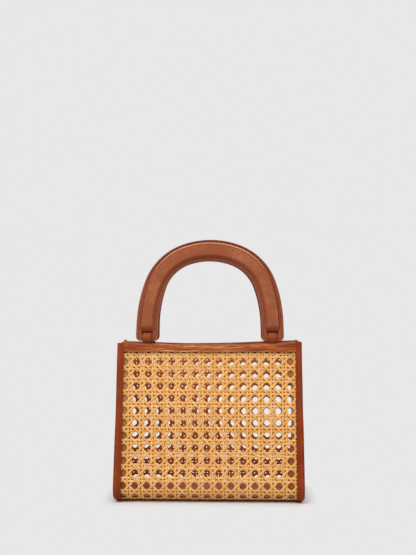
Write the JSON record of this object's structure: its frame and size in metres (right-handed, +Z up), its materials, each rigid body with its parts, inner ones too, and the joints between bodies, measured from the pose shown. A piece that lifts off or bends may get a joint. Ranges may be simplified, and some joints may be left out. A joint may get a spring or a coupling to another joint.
{
  "type": "cane webbing box bag",
  "caption": "Small tapered box bag with open cane-webbing walls, leather gussets, bindings and rim bands, and a pair of arched padded leather handles on loop tabs.",
  "frame": {"origin": "middle of the base, on the surface that the bag stands on", "axes": "+Z up, the front wall faces -Y, X runs along the bag's width"},
  "size_m": [0.2006, 0.0896, 0.2789],
  "materials": {
    "cane": "satin woven cane",
    "trim_leather": "smooth brown leather",
    "handle_leather": "smooth brown leather",
    "gusset_leather": "smooth brown leather",
    "lining_leather": "matt split leather"
  },
  "bodies": {
    "bag": {"front_cane_panel": "cane", "back_cane_panel": "cane", "base_cane_panel": "cane", "base_lining": "lining_leather", "left_gusset": "gusset_leather", "right_gusset": "gusset_leather", "left_edge_binding": "trim_leather", "right_edge_binding": "trim_leather", "front_top_band": "trim_leather", "back_top_band": "trim_leather", "front_left_tab": "trim_leather", "front_right_tab": "trim_leather", "back_left_tab": "trim_leather", "back_right_tab": "trim_leather"},
    "front_handle": {"front_handle_facing": "handle_leather", "front_handle_backing": "handle_leather"},
    "back_handle": {"back_handle_facing": "handle_leather", "back_handle_backing": "handle_leather"}
  },
  "joints": [
    {"name": "front_handle_swing", "type": "hinge", "parent": "bag", "child": "front_handle", "pos_m": [0, -0.01617, 0.17231], "axis": [1, 0, 0], "range_deg": [0, 125]},
    {"name": "back_handle_swing", "type": "hinge", "parent": "bag", "child": "back_handle", "pos_m": [0, 0.01617, 0.17231], "axis": [-1, 0, 0], "range_deg": [0, 125]}
  ]
}
